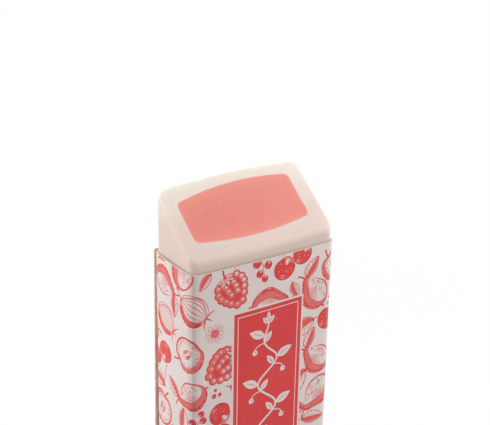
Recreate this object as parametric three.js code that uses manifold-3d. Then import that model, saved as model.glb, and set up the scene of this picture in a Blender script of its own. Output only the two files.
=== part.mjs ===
// A block eraser in a folded card sleeve, standing upright on the sleeve's lower rim.
// Millimetres. +Z runs along the block, X across its width, and -Y is the front panel.
// The origin is the middle of the part's footprint, on the surface that it stands on.

import * as THREE from 'three';
import { mergeVertices } from 'three/addons/utils/BufferGeometryUtils.js';
import Module from 'manifold-3d';

// Card sleeve: one blank, folded round four corners and lapped at the back left corner
const sleeve = {
  width: 22.8,
  depth: 10.15,
  length: 48,
  board: 0.25,
  foldRadius: 1.5,
  frontBow: 0.23,
  backBow: 0.33,
};

// The glue flap lies inside; the back panel ends as the outer ply, a little askew
const lap = {
  flapWidth: 9,
  stepLength: 3,
  restPastFlap: 0.3,
  edgeInsetAtMouth: 0.4,
  edgeOverhangAtRim: 0.1,
};

const glue = {
  thickness: 0.08,
  bondClearance: 0.01,
  marginAcross: 0.6,
  marginAlong: 1,
};

// Two-colour block: it slides in the sleeve, and both ends are cut parallel at a slant
const block = {
  sideClearance: 0.05,
  faceClearance: 0.05,
  frontBow: 0.22,
  backBow: 0.32,
  slantDegrees: 37.1,
  skewDegrees: 1,
  tipAboveMouth: 8.91,
  liftAboveRim: 0.6,
  edgeRounding: 0.65,
};

// The pink core sits a little off centre, and its back side runs a little askew
const core = {
  halfWidth: 8.9,
  halfDepth: 2.7,
  cornerRadius: 0.75,
  frontBow: 0.59,
  backBow: 0.69,
  backTiltDegrees: 1.9,
  offsetX: -0.35,
  offsetY: 0.1,
  bondClearance: 0.02,
};

// Fineness of the round stretches
const steps = {
  fold: 6,
  panel: 12,
  lap: 8,
  corner: 6,
  side: 14,
  edge: 5,
};

const radians = THREE.MathUtils.degToRad;
const lapThickness = sleeve.board + glue.thickness + 2 * glue.bondClearance;
const flapEnd = lap.flapWidth - sleeve.width / 2;
const foldStartX = sleeve.width / 2 - sleeve.foldRadius;

// Height of a bowed panel over its two folds
function bowAt(x, halfSpan, bow) {
  const share = Math.min(Math.abs(x) / halfSpan, 1);
  return bow * (1 - share * share);
}

function evenSteps(from, to, count) {
  return Array.from({ length: count + 1 }, (_, i) => THREE.MathUtils.lerp(from, to, i / count));
}

// Outer face of the tube's back side, which the flap follows
function flapFace(x) {
  return sleeve.depth / 2 + bowAt(x, foldStartX, sleeve.backBow);
}

// Outer face of the back panel: it rides over the flap, then comes down to the block
function backPanelFace(x) {
  const fall = (x - flapEnd - lap.restPastFlap) / lap.stepLength;
  const lift = 1 - THREE.MathUtils.smoothstep(fall, 0, 1);
  return flapFace(x) + lapThickness * lift;
}

// A fold's outer and inner arcs, about one centre
function foldArc(centreX, centreY, fromDegrees, toDegrees) {
  return evenSteps(radians(fromDegrees), radians(toDegrees), steps.fold).map((angle) => {
    const outer = sleeve.foldRadius;
    const inner = sleeve.foldRadius - sleeve.board;
    return {
      outer: new THREE.Vector2(centreX + outer * Math.cos(angle), centreY + outer * Math.sin(angle)),
      inner: new THREE.Vector2(centreX + inner * Math.cos(angle), centreY + inner * Math.sin(angle)),
    };
  });
}

// A panel's outer face and, one board thickness inside it, its inner face
function panelRun(stations, faceAt, inward) {
  return stations.map((x) => ({
    outer: new THREE.Vector2(x, faceAt(x)),
    inner: new THREE.Vector2(x, faceAt(x) + inward * sleeve.board),
  }));
}

// The blank's section, from the back panel's free edge all the way round to the flap's end
function sleeveSection() {
  const foldY = sleeve.depth / 2 - sleeve.foldRadius;
  const overFlap = flapEnd + lap.restPastFlap;
  const freeEdge = -sleeve.width / 2 + lap.edgeInsetAtMouth;
  const overLap = evenSteps(freeEdge, overFlap, steps.lap);
  const down = evenSteps(overFlap, overFlap + lap.stepLength, steps.lap).slice(1);
  const rest = evenSteps(overFlap + lap.stepLength, foldStartX, steps.panel).slice(1, -1);
  const front = evenSteps(foldStartX, -foldStartX, steps.panel).slice(1, -1);
  const flap = evenSteps(-foldStartX, flapEnd, steps.lap).slice(1);
  const frontFace = (x) => -sleeve.depth / 2 - bowAt(x, foldStartX, sleeve.frontBow);
  const path = [
    ...panelRun([...overLap, ...down, ...rest], backPanelFace, -1),
    ...foldArc(foldStartX, foldY, 90, 0),
    ...foldArc(foldStartX, -foldY, 0, -90),
    ...panelRun(front, frontFace, 1),
    ...foldArc(-foldStartX, -foldY, -90, -180),
    ...foldArc(-foldStartX, foldY, 180, 90),
    ...panelRun(flap, flapFace, -1),
  ];
  const outline = [...path.map((p) => p.outer), ...path.reverse().map((p) => p.inner)];
  return new THREE.Shape(outline);
}

// The free edge leans out towards the rim, because the outer ply is glued on askew
function leanFreeEdge(geometry) {
  const position = geometry.attributes.position;
  const freeEdge = -sleeve.width / 2 + lap.edgeInsetAtMouth;
  const travel = lap.edgeInsetAtMouth + lap.edgeOverhangAtRim;
  const tolerance = 1e-3;
  for (let i = 0; i < position.count; i++) {
    const onEdge = Math.abs(position.getX(i) - freeEdge) < tolerance;
    if (onEdge && position.getY(i) > sleeve.depth / 2 + glue.bondClearance) {
      const share = 1 - position.getZ(i) / sleeve.length;
      position.setX(i, freeEdge - travel * share);
    }
  }
  geometry.computeVertexNormals();
}

function makeSleeve() {
  const geometry = new THREE.ExtrudeGeometry(sleeveSection(), {
    depth: sleeve.length,
    bevelEnabled: false,
  });
  leanFreeEdge(geometry);
  const card = new THREE.MeshStandardMaterial({ color: 0xf3ece8, roughness: 0.5, metalness: 0 });
  return named('card_sleeve', geometry, card);
}

// The film of glue between the flap and the back panel
function makeGlue() {
  const from = -foldStartX + glue.marginAcross;
  const to = flapEnd - glue.marginAcross;
  const stations = evenSteps(from, to, steps.lap);
  const under = (x) => flapFace(x) + glue.bondClearance;
  const outline = [
    ...stations.map((x) => new THREE.Vector2(x, under(x))),
    ...stations.reverse().map((x) => new THREE.Vector2(x, under(x) + glue.thickness)),
  ];
  const geometry = new THREE.ExtrudeGeometry(new THREE.Shape(outline), {
    depth: sleeve.length - 2 * glue.marginAlong,
    bevelEnabled: false,
  });
  geometry.translate(0, 0, glue.marginAlong);
  const film = new THREE.MeshStandardMaterial({ color: 0xe6dcc4, roughness: 0.4, metalness: 0 });
  return named('seam_glue', geometry, film);
}

// The block's section fills the sleeve but for its clearances, at the corners too
const blockHalfWidth = sleeve.width / 2 - sleeve.board - block.sideClearance;
const blockHalfDepth = sleeve.depth / 2 - sleeve.board - block.faceClearance;

// A rounded rectangle with bowed long sides, inset all round, anticlockwise from the front
function bowedOutline(size, inset) {
  const radius = Math.max(size.cornerRadius - inset, 0);
  const x = size.halfWidth - inset - radius;
  const y = size.halfDepth - inset - radius;
  const tilt = Math.tan(radians(size.backTiltDegrees));
  const sideSteps = evenSteps(-x, x, steps.side).slice(1, -1);
  const arc = (centreX, centreY, fromDegrees) => evenSteps(fromDegrees, fromDegrees + 90, steps.corner)
    .map(radians)
    .map((angle) => new THREE.Vector2(
      centreX + radius * Math.cos(angle),
      centreY + radius * Math.sin(angle),
    ));
  const front = sideSteps.map((s) => new THREE.Vector2(s, -y - radius - bowAt(s, x, size.frontBow)));
  const back = sideSteps.reverse().map((s) => (
    new THREE.Vector2(s, y + radius + bowAt(s, x, size.backBow) + tilt * s)
  ));
  return [
    ...front,
    ...arc(x, -y, -90),
    ...arc(x, y + tilt * x, 0),
    ...back,
    ...arc(-x, y - tilt * x, 90),
    ...arc(-x, -y, 180),
  ];
}

const blockSize = {
  halfWidth: blockHalfWidth,
  halfDepth: blockHalfDepth,
  cornerRadius: sleeve.foldRadius - sleeve.board - block.sideClearance,
  frontBow: block.frontBow,
  backBow: block.backBow,
  backTiltDegrees: 0,
};

// The two parallel cuts: they rise to the back, and a hair to the right
function slantAt(x, y) {
  return y * Math.tan(radians(block.slantDegrees)) + x * Math.tan(radians(block.skewDegrees));
}

function topCut(x, y) {
  return sleeve.length + block.tipAboveMouth + slantAt(x, y - blockHalfDepth);
}

function bottomCut(x, y) {
  return block.liftAboveRim + slantAt(x, y + blockHalfDepth);
}

// The rounded edge as rings: how far each is in from the side, and back from the cut
function edgeRings() {
  return evenSteps(0, Math.PI / 2, steps.edge).map((angle) => ({
    inset: block.edgeRounding * (1 - Math.cos(angle)),
    drop: block.edgeRounding * (1 - Math.sin(angle)),
  }));
}

// The whole block as a skin of rings, closed by a flat face at each cut
function blockSolid() {
  const rings = [];
  const edge = edgeRings();
  for (const { inset, drop } of [...edge].reverse()) {
    const outline = bowedOutline(blockSize, inset);
    rings.push(outline.map((p) => new THREE.Vector3(p.x, p.y, bottomCut(p.x, p.y) + drop)));
  }
  for (const { inset, drop } of edge) {
    const outline = bowedOutline(blockSize, inset);
    rings.push(outline.map((p) => new THREE.Vector3(p.x, p.y, topCut(p.x, p.y) - drop)));
  }
  return closedSkin(rings);
}

function closedSkin(rings) {
  const count = rings[0].length;
  const index = [];
  for (let ring = 0; ring < rings.length - 1; ring++) {
    for (let i = 0; i < count; i++) {
      const a = ring * count + i;
      const b = ring * count + (i + 1) % count;
      index.push(a, b, b + count, a, b + count, a + count);
    }
  }
  const last = (rings.length - 1) * count;
  const flat = (ring) => ring.map((p) => new THREE.Vector2(p.x, p.y));
  for (const [a, b, c] of THREE.ShapeUtils.triangulateShape(flat(rings[0]), [])) {
    index.push(a, c, b);
  }
  for (const [a, b, c] of THREE.ShapeUtils.triangulateShape(flat(rings[rings.length - 1]), [])) {
    index.push(last + a, last + b, last + c);
  }
  const geometry = new THREE.BufferGeometry().setFromPoints(rings.flat());
  geometry.setIndex(index);
  return geometry;
}

// A prism of the core's section between two heights, given as functions of x and y
function corePrism(inset, bottomAt, topAt) {
  const outline = bowedOutline(core, inset).map((p) => (
    new THREE.Vector2(p.x + core.offsetX, p.y + core.offsetY)
  ));
  const ringAt = (heightAt) => outline.map((p) => new THREE.Vector3(p.x, p.y, heightAt(p.x, p.y)));
  return closedSkin([ringAt(bottomAt), ringAt(topAt)]);
}

const wasm = await Module();
wasm.setup();

function toManifold(geometry) {
  const merged = geometry.clone();
  merged.deleteAttribute('normal');
  merged.deleteAttribute('uv');
  const welded = mergeVertices(merged, 1e-4);
  return new wasm.Manifold(new wasm.Mesh({
    numProp: 3,
    vertProperties: new Float32Array(welded.attributes.position.array),
    triVerts: new Uint32Array(welded.index.array),
  }));
}

function toGeometry(solid) {
  const { vertProperties, triVerts } = solid.getMesh();
  const geometry = new THREE.BufferGeometry();
  geometry.setAttribute('position', new THREE.BufferAttribute(new Float32Array(vertProperties), 3));
  geometry.setIndex(new THREE.BufferAttribute(new Uint32Array(triVerts), 1));
  geometry.computeVertexNormals();
  return geometry;
}

// The cream body has a channel right through it, which the core fills
function makeBody() {
  const past = 5;
  const channel = corePrism(0, (x, y) => bottomCut(x, y) - past, (x, y) => topCut(x, y) + past);
  const geometry = toGeometry(toManifold(blockSolid()).subtract(toManifold(channel)));
  const cream = new THREE.MeshStandardMaterial({ color: 0xefe0d6, roughness: 0.6, metalness: 0 });
  return named('eraser_body', geometry, cream);
}

function makeCore() {
  const geometry = corePrism(core.bondClearance, bottomCut, topCut);
  geometry.computeVertexNormals();
  const pink = new THREE.MeshStandardMaterial({ color: 0xea8f82, roughness: 0.6, metalness: 0 });
  return named('eraser_core', geometry, pink);
}

function named(name, geometry, material) {
  const mesh = new THREE.Mesh(geometry, material);
  mesh.name = name;
  return mesh;
}

const eraserBlock = new THREE.Group();
eraserBlock.add(makeBody(), makeCore());

const cardSleeve = new THREE.Group();
cardSleeve.add(makeSleeve(), makeGlue());

const eraser = new THREE.Group();
eraser.add(cardSleeve, eraserBlock);

// The footprint's middle goes to the origin
const middle = new THREE.Box3().setFromObject(eraser).getCenter(new THREE.Vector3());
eraser.position.set(-middle.x, -middle.y, 0);

export default eraser;
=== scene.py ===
import random
from collections import namedtuple
from math import cos, dist, exp, hypot, inf, pi, radians, sin, sqrt, tan, tau

import bpy
import numpy as np
from mathutils import Matrix, Vector, noise
from mathutils.bvhtree import BVHTree
from mathutils.geometry import delaunay_2d_cdt


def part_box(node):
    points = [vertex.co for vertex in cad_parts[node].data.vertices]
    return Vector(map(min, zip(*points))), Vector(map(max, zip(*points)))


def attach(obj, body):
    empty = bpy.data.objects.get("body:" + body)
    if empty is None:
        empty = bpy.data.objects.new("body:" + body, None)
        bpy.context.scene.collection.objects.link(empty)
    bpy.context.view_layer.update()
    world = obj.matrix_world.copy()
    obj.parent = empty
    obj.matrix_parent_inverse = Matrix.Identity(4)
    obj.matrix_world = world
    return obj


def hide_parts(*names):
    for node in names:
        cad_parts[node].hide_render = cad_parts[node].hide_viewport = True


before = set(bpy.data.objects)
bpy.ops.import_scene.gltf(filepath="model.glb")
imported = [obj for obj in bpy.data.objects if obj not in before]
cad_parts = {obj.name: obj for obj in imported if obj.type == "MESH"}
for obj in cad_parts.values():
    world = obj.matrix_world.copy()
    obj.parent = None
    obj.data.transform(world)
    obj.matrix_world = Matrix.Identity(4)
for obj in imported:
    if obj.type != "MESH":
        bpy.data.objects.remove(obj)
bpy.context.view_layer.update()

# A block eraser in a printed card sleeve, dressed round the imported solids.
# Lengths are millimetres, +Z runs along the block and -Y is the front panel.
# The sleeve's own axis is at x = 0, y = 0 until a mesh is made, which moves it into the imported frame.

MM = 0.001
SLEEVE_LOW, SLEEVE_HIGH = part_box("card_sleeve")

# The folded card blank
SLEEVE_WIDTH = 22.8
SLEEVE_DEPTH = 10.15
SLEEVE_LENGTH = SLEEVE_HIGH.z / MM
BOARD = 0.25
FOLD_RADIUS = 1.5
FRONT_BOW = 0.23
BACK_BOW = 0.33
SIDE_BOW = 0.14
CUT_BEVEL = 0.05

# The lap: the back panel lies over the glue flap, a little askew
FLAP_WIDTH = 9.0
LAP_STEP = 3.0
REST_PAST_FLAP = 0.3
LAP_THICKNESS = 0.35
EDGE_INSET_AT_MOUTH = 0.4
EDGE_OVERHANG_AT_RIM = 0.1

FOLD_START_X = SLEEVE_WIDTH / 2 - FOLD_RADIUS
FOLD_START_Y = SLEEVE_DEPTH / 2 - FOLD_RADIUS
FLAP_END_X = FLAP_WIDTH - SLEEVE_WIDTH / 2
EDGE_LEAN = EDGE_INSET_AT_MOUTH + EDGE_OVERHANG_AT_RIM

# Where the sleeve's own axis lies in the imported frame
SHIFT_X = SLEEVE_HIGH.x / MM - SLEEVE_WIDTH / 2
SHIFT_Y = SLEEVE_LOW.y / MM + SLEEVE_DEPTH / 2 + FRONT_BOW

# A rounded rectangle with bowed long sides
Barrel = namedtuple("Barrel", "half_width half_depth corner front_bow back_bow back_tilt x y")
BLOCK = Barrel(11.1, 4.775, 1.2, 0.22, 0.32, 0.0, 0.0, 0.0)
CORE = Barrel(8.9, 2.7, 0.75, 0.59, 0.69, tan(radians(1.9)), -0.35, 0.1)

# The two parallel slanted cuts and their worn edges
SLANT = tan(radians(37.1))
SKEW = tan(radians(1.0))
TIP_ABOVE_MOUTH = 8.91
LIFT_ABOVE_RIM = 0.6
FRONT_EDGE_RADIUS = 1.2
SIDE_EDGE_RADIUS = 0.5
BACK_EDGE_RADIUS = 0.3

# The red label on the front panel
LABEL_LEFT_X = -5.08
LABEL_RIGHT_X = 5.78
LABEL_END = 6.85
LABEL_MARGIN = 0.28
LABEL_CLEAR = 0.2
LABEL_INSET = 0.55
LABEL_LINE = 0.12

# The vine on the label: how far it stays from the ends, and its waves
VINE_INSET = 2.6
VINE_WAVES = 4
VINE_SWING = 1.5

# The camera, aimed from the middle of the sleeve's mouth
IMAGE_WIDTH_PX = 490
FOCAL_PX = 1050
CAMERA_AZIMUTH = -33.80
CAMERA_ELEVATION = 21.659
CAMERA_ROLL = 0.954
CAMERA_DISTANCE = 140.344
CAMERA_ASIDE = -0.153
CAMERA_UP = 4.352


def mix(a, b, share):
    return a + (b - a) * share


def smooth(share):
    share = min(max(share, 0.0), 1.0)
    return share * share * (3 - 2 * share)


def to_frame(x, y, z):
    return ((x + SHIFT_X) * MM, (y + SHIFT_Y) * MM, z * MM)


# Pen drawing: tones, which are also the sleeve's material slots, and outlines in millimetres

PAPER, INK, TINT, BOARD_EDGE, BOARD_INSIDE = range(5)


class Drawing:
    """Shapes in paint order, each a tone and an outline: a later one covers an earlier one."""

    def __init__(self):
        self.shapes = []
        self.footprint = []

    def fill(self, outline, tone):
        self.shapes.append((tone, outline))

    def stroke(self, path, start, middle, end, tone):
        """Adds a pen stroke along a path, with its widths at the start, in the middle and at the end."""
        self.fill(brush(path, start, middle, end), tone)

    def dot(self, x, y, radius, tone, sides=6):
        """Adds a disc; without a number of sides it has as many as its size needs."""
        self.fill(oval(x, y, radius, count=sides), tone)

    def room(self, x, y, radius):
        """Adds a circle that no other motif may enter."""
        self.footprint.append((x, y, radius))

    def add(self, other, x=0.0, y=0.0, degrees=0.0, size=1.0):
        """Adds a copy of another drawing, turned, sized and moved."""
        move = placing(x, y, degrees, size)
        for tone, outline in other.shapes:
            self.shapes.append((tone, [move(p) for p in outline]))
        for fx, fy, radius in other.footprint:
            self.footprint.append((*move((fx, fy)), radius * size))


def placing(x, y, degrees, size):
    c = cos(radians(degrees)) * size
    s = sin(radians(degrees)) * size
    return lambda p: (x + c * p[0] - s * p[1], y + s * p[0] + c * p[1])


def polar(angle, across, along=None):
    """The point at an angle on an oval round the origin."""
    along = across if along is None else along
    return (across * cos(angle), along * sin(angle))


def oval(x, y, across, along=None, degrees=0.0, count=None):
    """An oval's outline, from its two half axes."""
    along = across if along is None else along
    count = count or max(8, int(12 + 9 * max(across, along)))
    move = placing(x, y, degrees, 1.0)
    return [move(polar(i * tau / count, across, along)) for i in range(count)]


def curve(start, pull, end, count=8):
    """A quadratic curve's points."""
    out = []
    for i in range(count + 1):
        t = i / count
        a, b, c = (1 - t) ** 2, 2 * t * (1 - t), t ** 2
        out.append((a * start[0] + b * pull[0] + c * end[0], a * start[1] + b * pull[1] + c * end[1]))
    return out


def arc(x, y, radius, start_degrees, end_degrees, count=8):
    angles = [radians(mix(start_degrees, end_degrees, i / count)) for i in range(count + 1)]
    return [(x + radius * cos(a), y + radius * sin(a)) for a in angles]


def brush(path, start, middle, end):
    """A pen stroke along a path: its width swells from start to middle and shrinks to end."""
    left, right = [], []
    last = len(path) - 1
    for i, (x, y) in enumerate(path):
        ax, ay = path[max(i - 1, 0)]
        bx, by = path[min(i + 1, last)]
        length = hypot(bx - ax, by - ay) or 1.0
        t = i / last
        width = mix(start, middle, 2 * t) if t < 0.5 else mix(middle, end, 2 * t - 1)
        nx, ny = -(by - ay) / length * width / 2, (bx - ax) / length * width / 2
        left.append((x + nx, y + ny))
        right.append((x - nx, y - ny))
    return left + right[::-1]


def leaf(length, width, veins=7, tooth=0.0, bend=0.0, bold=False):
    """A leaf along +X from its stalk: inked margin and ribs, and a tinted and hatched lower half."""
    out = Drawing()

    def half_width(t):
        return width / 2 * sin(pi * t ** 0.8) ** 0.85

    def bent(x, y):
        return (x, y + bend * (x / length) ** 2)

    def margin(side, grow):
        points = []
        for i in range(2 * veins + 1):
            t = i / (2 * veins)
            ragged = tooth * (i % 2) * sin(pi * t)
            points.append(bent(length * t + ragged * 0.6, side * (half_width(t) + ragged + grow)))
        return points

    line = 0.065
    out.fill(margin(1, line) + margin(-1, line)[::-1], INK)
    out.fill(margin(1, -line)[1:-1] + margin(-1, -line)[::-1][1:-1], PAPER)
    shaded = [bent(length * i / 10, 0) for i in range(1, 10)]
    out.fill(margin(-1, -2 * line)[1:-1] + shaded[::-1], TINT)
    for side in (1, -1):
        for i in range(1, 2 * veins):
            t = i / (2 * veins)
            reach = min(t + 0.13, 0.99)
            foot = bent(length * t * 0.92, 0)
            tip = bent(length * reach, side * half_width(reach) * 0.95)
            pull = bent(length * mix(t, reach, 0.4), side * half_width(reach) * 0.35)
            path = curve(foot, pull, tip, 3)
            if i % 2:
                out.stroke(path, 0.11, 0.08, 0.04, INK)
            elif side < 0 or bold:
                out.stroke(path, 0.05, 0.1, 0.03, INK)
            else:
                out.stroke(path[:3], 0.05, 0.05, 0.0, INK)
    for i in range(2 * veins - 1):
        t = (i + 0.5) / (2 * veins)
        reach = min(t + 0.1, 0.98)
        foot = bent(length * t, 0)
        tip = bent(length * reach, -half_width(reach) * 0.8)
        pull = bent(length * t * 1.05, -half_width(reach) * 0.4)
        out.stroke(curve(foot, pull, tip, 2), 0.09, 0.06, 0.0, INK)
    midrib = [bent(length * (i / 8 * 1.06 - 0.12), 0) for i in range(9)]
    out.stroke(midrib, 0.14, 0.13, 0.03, INK)
    for share in (0.18, 0.5, 0.82):
        out.room(length * share, bend * share ** 2, width * (0.3 if share != 0.5 else 0.45))
    return out


def cherry(radius, rng):
    """A dark round fruit: ink with lines of paper towards the light and small dots elsewhere."""
    out = Drawing()
    body = []
    sides, dots = 28, 16
    for i in range(sides):
        a = pi / 2 + i * tau / sides
        dimple = 0.1 * exp(-((min(i, sides - i) / 1.8) ** 2))
        r = radius * (1 - dimple) * (1 + 0.02 * cos(2 * a))
        body.append(polar(a, r))
    out.fill(body, INK)
    for k in range(5):
        r = radius * (0.86 - 0.13 * k)
        reach = 46 - 7 * k
        out.stroke(arc(0, 0, r, 35 - reach, 35 + reach, 6), 0.0, 0.1 + 0.015 * k, 0.0, PAPER)
    out.fill(oval(radius * 0.42, radius * 0.36, radius * 0.13, radius * 0.24, -52), PAPER)
    for k in range(3):
        out.stroke(arc(0, 0, radius * (0.84 - 0.12 * k), 205, 250, 6), 0.0, 0.055, 0.0, PAPER)
    for _ in range(dots):
        a = radians(rng.uniform(95, 345))
        r = radius * sqrt(rng.uniform(0.05, 0.6))
        out.dot(*polar(a, r), rng.uniform(0.03, 0.055), PAPER, 5)
    out.room(0, 0, radius)
    return out


def cherry_pair(rng):
    """Two cherries hanging from one twig, with a leaf."""
    out = Drawing()
    twig = (0.5, 3.3)
    fruits = ((-1.35, -1.2, 1.55), (1.5, -0.7, 1.4))
    out.add(leaf(3.3, 1.5, 6, 0.06, -0.5), twig[0], twig[1] - 0.1, -28)
    for x, y, r in fruits:
        out.stroke(curve(twig, (x * 0.25, 1.6), (x, y + r * 0.86), 10), 0.24, 0.12, 0.16, INK)
    out.stroke([(0.15, 3.45), (0.5, 3.3), (0.95, 3.35)], 0.2, 0.34, 0.2, INK)
    for x, y, r in fruits:
        out.dot(x, y, r + 0.08, PAPER, None)
        out.add(cherry(r, rng), x, y, -8 * x)
    out.room(0.2, 1.6, 0.9)
    return out


def raspberry(rng):
    """A fruit of many beads, with a leafy crown."""
    out = Drawing()
    beads = []
    row_height, bead_pitch = 0.504, 0.6
    for row, half in enumerate((1.0, 1.3, 1.28, 1.08, 0.75, 0.3)):
        y = 1.05 - row * row_height
        count = max(2, round(2 * half / bead_pitch))
        for i in range(count):
            share = i / (count - 1) * 2 - 1
            at = (share * half + rng.uniform(-0.04, 0.04), y - 0.12 * share ** 2 + rng.uniform(-0.03, 0.03))
            beads.append(at)
    out.fill(oval(0, -0.1, 1.2, 1.4), INK)
    for x, y in beads:
        out.dot(x, y, 0.43, INK, 10)
    for x, y in beads:
        light = 0.5 + 0.5 * (x / 1.5 * 0.8 + (y + 0.3) / 1.8 * 0.3)
        window = mix(0.07, 0.2, min(max(light, 0), 1))
        out.dot(x + 0.03, y + 0.03, 0.31, TINT, 10)
        out.dot(x + 0.05, y + 0.05, window, PAPER, 9)
        out.dot(x + 0.02, y - 0.01, 0.06, INK, 5)
    for turn, length in ((-82, 1.0), (-50, 1.15), (0, 1.0), (50, 1.15), (82, 1.0)):
        sepal = Drawing()
        path = curve((0, 0), (length * 0.5, 0.12), (length, -0.22 if turn else 0), 6)
        sepal.stroke(path, 0.3, 0.46, 0.0, INK)
        sepal.stroke(path[:-1], 0.2, 0.3, 0.0, PAPER)
        sepal.stroke(path[:-1], 0.08, 0.06, 0.0, INK)
        out.add(sepal, 0, 1.35, turn - 90)
    out.stroke(curve((0, 1.3), (0.05, 1.9), (0.35, 2.4), 6), 0.26, 0.16, 0.2, INK)
    out.room(0, 0.2, 1.75)
    out.room(0, -1.2, 1.0)
    out.room(0.2, 2.0, 0.4)
    return out


def gooseberry(radius, rng):
    """A pale round fruit with veins from pole to pole, shaded on one side, and a withered tail."""
    out = Drawing()
    out.fill(oval(0, 0, radius, radius * 1.06), INK)
    out.fill(oval(0.03, 0.0, radius - 0.1, radius * 1.06 - 0.09), PAPER)
    out.fill(arc(0, 0, radius - 0.1, 100, 260, 14) + arc(radius * 0.5, 0, radius * 1.12, 240, 120, 14), TINT)
    for k in range(-4, 5):
        bulge = sin(radians(k * 20)) * radius * 1.9
        path = curve((0, radius * 1.03), (bulge, 0), (0, -radius * 1.03), 10)
        out.stroke(path, 0.03, 0.17 if k < -1 else 0.1, 0.03, INK)
        if k < 1:
            dotted = curve((0, radius), (bulge + radius * 0.3, 0), (0, -radius), 11)
            for x, y in dotted[2:-2]:
                out.dot(x, y, 0.05, INK, 5)
    crescent = arc(0, 0, radius, 115, 245, 14) + arc(radius * 0.34, 0, radius * 1.08, 228, 132, 14)
    out.fill(crescent, INK)
    dots = 12
    for _ in range(dots):
        a = radians(rng.uniform(140, 220))
        r = radius * rng.uniform(0.78, 0.93)
        out.dot(*polar(a, r), 0.035, PAPER)
    for turn in (-118, -90, -64):
        a = radians(turn)
        end = (cos(a) * radius * 1.5, sin(a) * radius * 1.5)
        out.stroke([(0, -radius), (end[0] * 0.7, end[1] * 0.86), end], 0.16, 0.13, 0.03, INK)
    out.stroke(curve((0, radius), (0.1, radius + 0.5), (0.5, radius + 0.9), 5), 0.12, 0.09, 0.14, INK)
    out.room(0, 0, radius * 1.08)
    out.room(0, -radius * 1.3, 0.35)
    return out


def currants(count=7):
    """A hanging string of small berries."""
    out = Drawing()
    stalk = curve((0, 2.6), (0.7, 0.2), (0, -2.6), 12)
    out.stroke(stalk, 0.2, 0.12, 0.06, INK)
    for i in range(count):
        t = 0.16 + 0.84 * i / (count - 1)
        x, y = stalk[round(t * 12)]
        side = -1 if i % 2 else 1
        r = mix(0.72, 0.44, t)
        bx, by = (x, y - 0.25) if i == count - 1 else (x + side * (r + 0.12), y - 0.28)
        out.stroke([(x, y), (mix(x, bx, 0.5), y - 0.02), (bx, by)], 0.08, 0.07, 0.08, INK)
        out.dot(bx, by, r + 0.06, PAPER, None)
        out.dot(bx, by, r, INK, None)
        for k in range(3):
            out.stroke(arc(bx, by, r * (0.78 - 0.22 * k), 12, 88 - 6 * k, 4), 0.0, 0.09, 0.0, PAPER)
        out.stroke(arc(bx, by, r * 0.72, 196, 250, 4), 0.0, 0.05, 0.0, PAPER)
        out.fill(oval(bx, by - r * 0.98, 0.09, 0.07, count=6), INK)
        out.room(bx, by, r)
    out.room(0.2, 1.8, 0.3)
    return out


def daisy(petals=11, radius=1.5):
    """A flower of many narrow petals round a dark eye."""
    out = Drawing()
    for i in range(petals):
        length = radius * (1 - 0.08 * (i % 3))
        petal = Drawing()
        petal.fill(oval(length * 0.6, 0, length * 0.42, 0.27), INK)
        petal.fill(oval(length * 0.61, 0, length * 0.42 - 0.06, 0.21), PAPER)
        petal.stroke([(0.3, 0), (length * 0.55, 0.03), (length * 0.85, 0.05)], 0.12, 0.05, 0.0, INK)
        petal.stroke([(0.3, -0.08), (length * 0.45, -0.1), (length * 0.65, -0.09)], 0.08, 0.04, 0.0, INK)
        out.add(petal, 0, 0, i * 360 / petals)
    out.dot(0, 0, 0.42, INK, 16)
    stamens = 7
    for i in range(stamens):
        out.dot(*polar(i * tau / stamens, 0.25), 0.06, PAPER)
    out.dot(0, 0, 0.07, PAPER)
    out.room(0, 0, radius)
    return out


# How many points the outlines of the apple and the pear have
RIM_SIDES = 44


def half_apple(rng):
    """A halved apple: dark skin, pale flesh with fine rays, and two pips in its heart."""
    out = Drawing()
    rays, specks = 46, 22

    def rim(x, across, along):
        points = []
        for i in range(RIM_SIDES):
            turn = i * 360 / RIM_SIDES
            a = radians(turn)
            top = exp(-((turn - 90) / 17) ** 2)
            low = exp(-((turn - 270) / 14) ** 2)
            r = 1 - 0.17 * top - 0.08 * low
            points.append((x + across * r * cos(a), along * r * sin(a)))
        return points

    out.fill(rim(0, 2.05, 2.0), INK)
    out.fill(rim(0.05, 1.86, 1.84), TINT)
    out.fill(rim(0.2, 1.58, 1.64), PAPER)
    for i in range(rays):
        a = radians(i * 360 / rays + rng.uniform(-3, 3))
        inner = rng.uniform(0.62, 0.82)
        start = (0.14 + 1.5 * cos(a), 1.5 * sin(a))
        end = (0.14 + 1.66 * inner * cos(a), 1.68 * inner * sin(a))
        out.stroke([start, end], 0.09, 0.05, 0.02, INK)
    for side in (1, -1):
        for reach, line in ((0.82, 0.12), (0.56, 0.07)):
            bow = curve((0.1, reach), (0.1 + side * reach * 1.15, 0.2), (0.1, -reach * 1.1), 10)
            out.stroke(bow, 0.05, line, 0.05, INK)
        out.fill(oval(0.1 + side * 0.26, -0.06, 0.15, 0.36, side * 14), INK)
        gleam = curve((0.1 + side * 0.27, 0.14), (0.1 + side * 0.33, -0.02), (0.1 + side * 0.31, -0.2), 4)
        out.stroke(gleam, 0.0, 0.07, 0.0, PAPER)
    for _ in range(specks):
        out.dot(*polar(radians(rng.uniform(110, 250)), 1.93, 1.88), 0.045, PAPER)
    out.stroke(curve((0.05, 1.55), (0.1, 2.1), (0.45, 2.6), 5), 0.3, 0.18, 0.26, INK)
    out.room(0, 0.1, 2.0)
    out.room(0.3, 2.3, 0.35)
    return out


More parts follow.
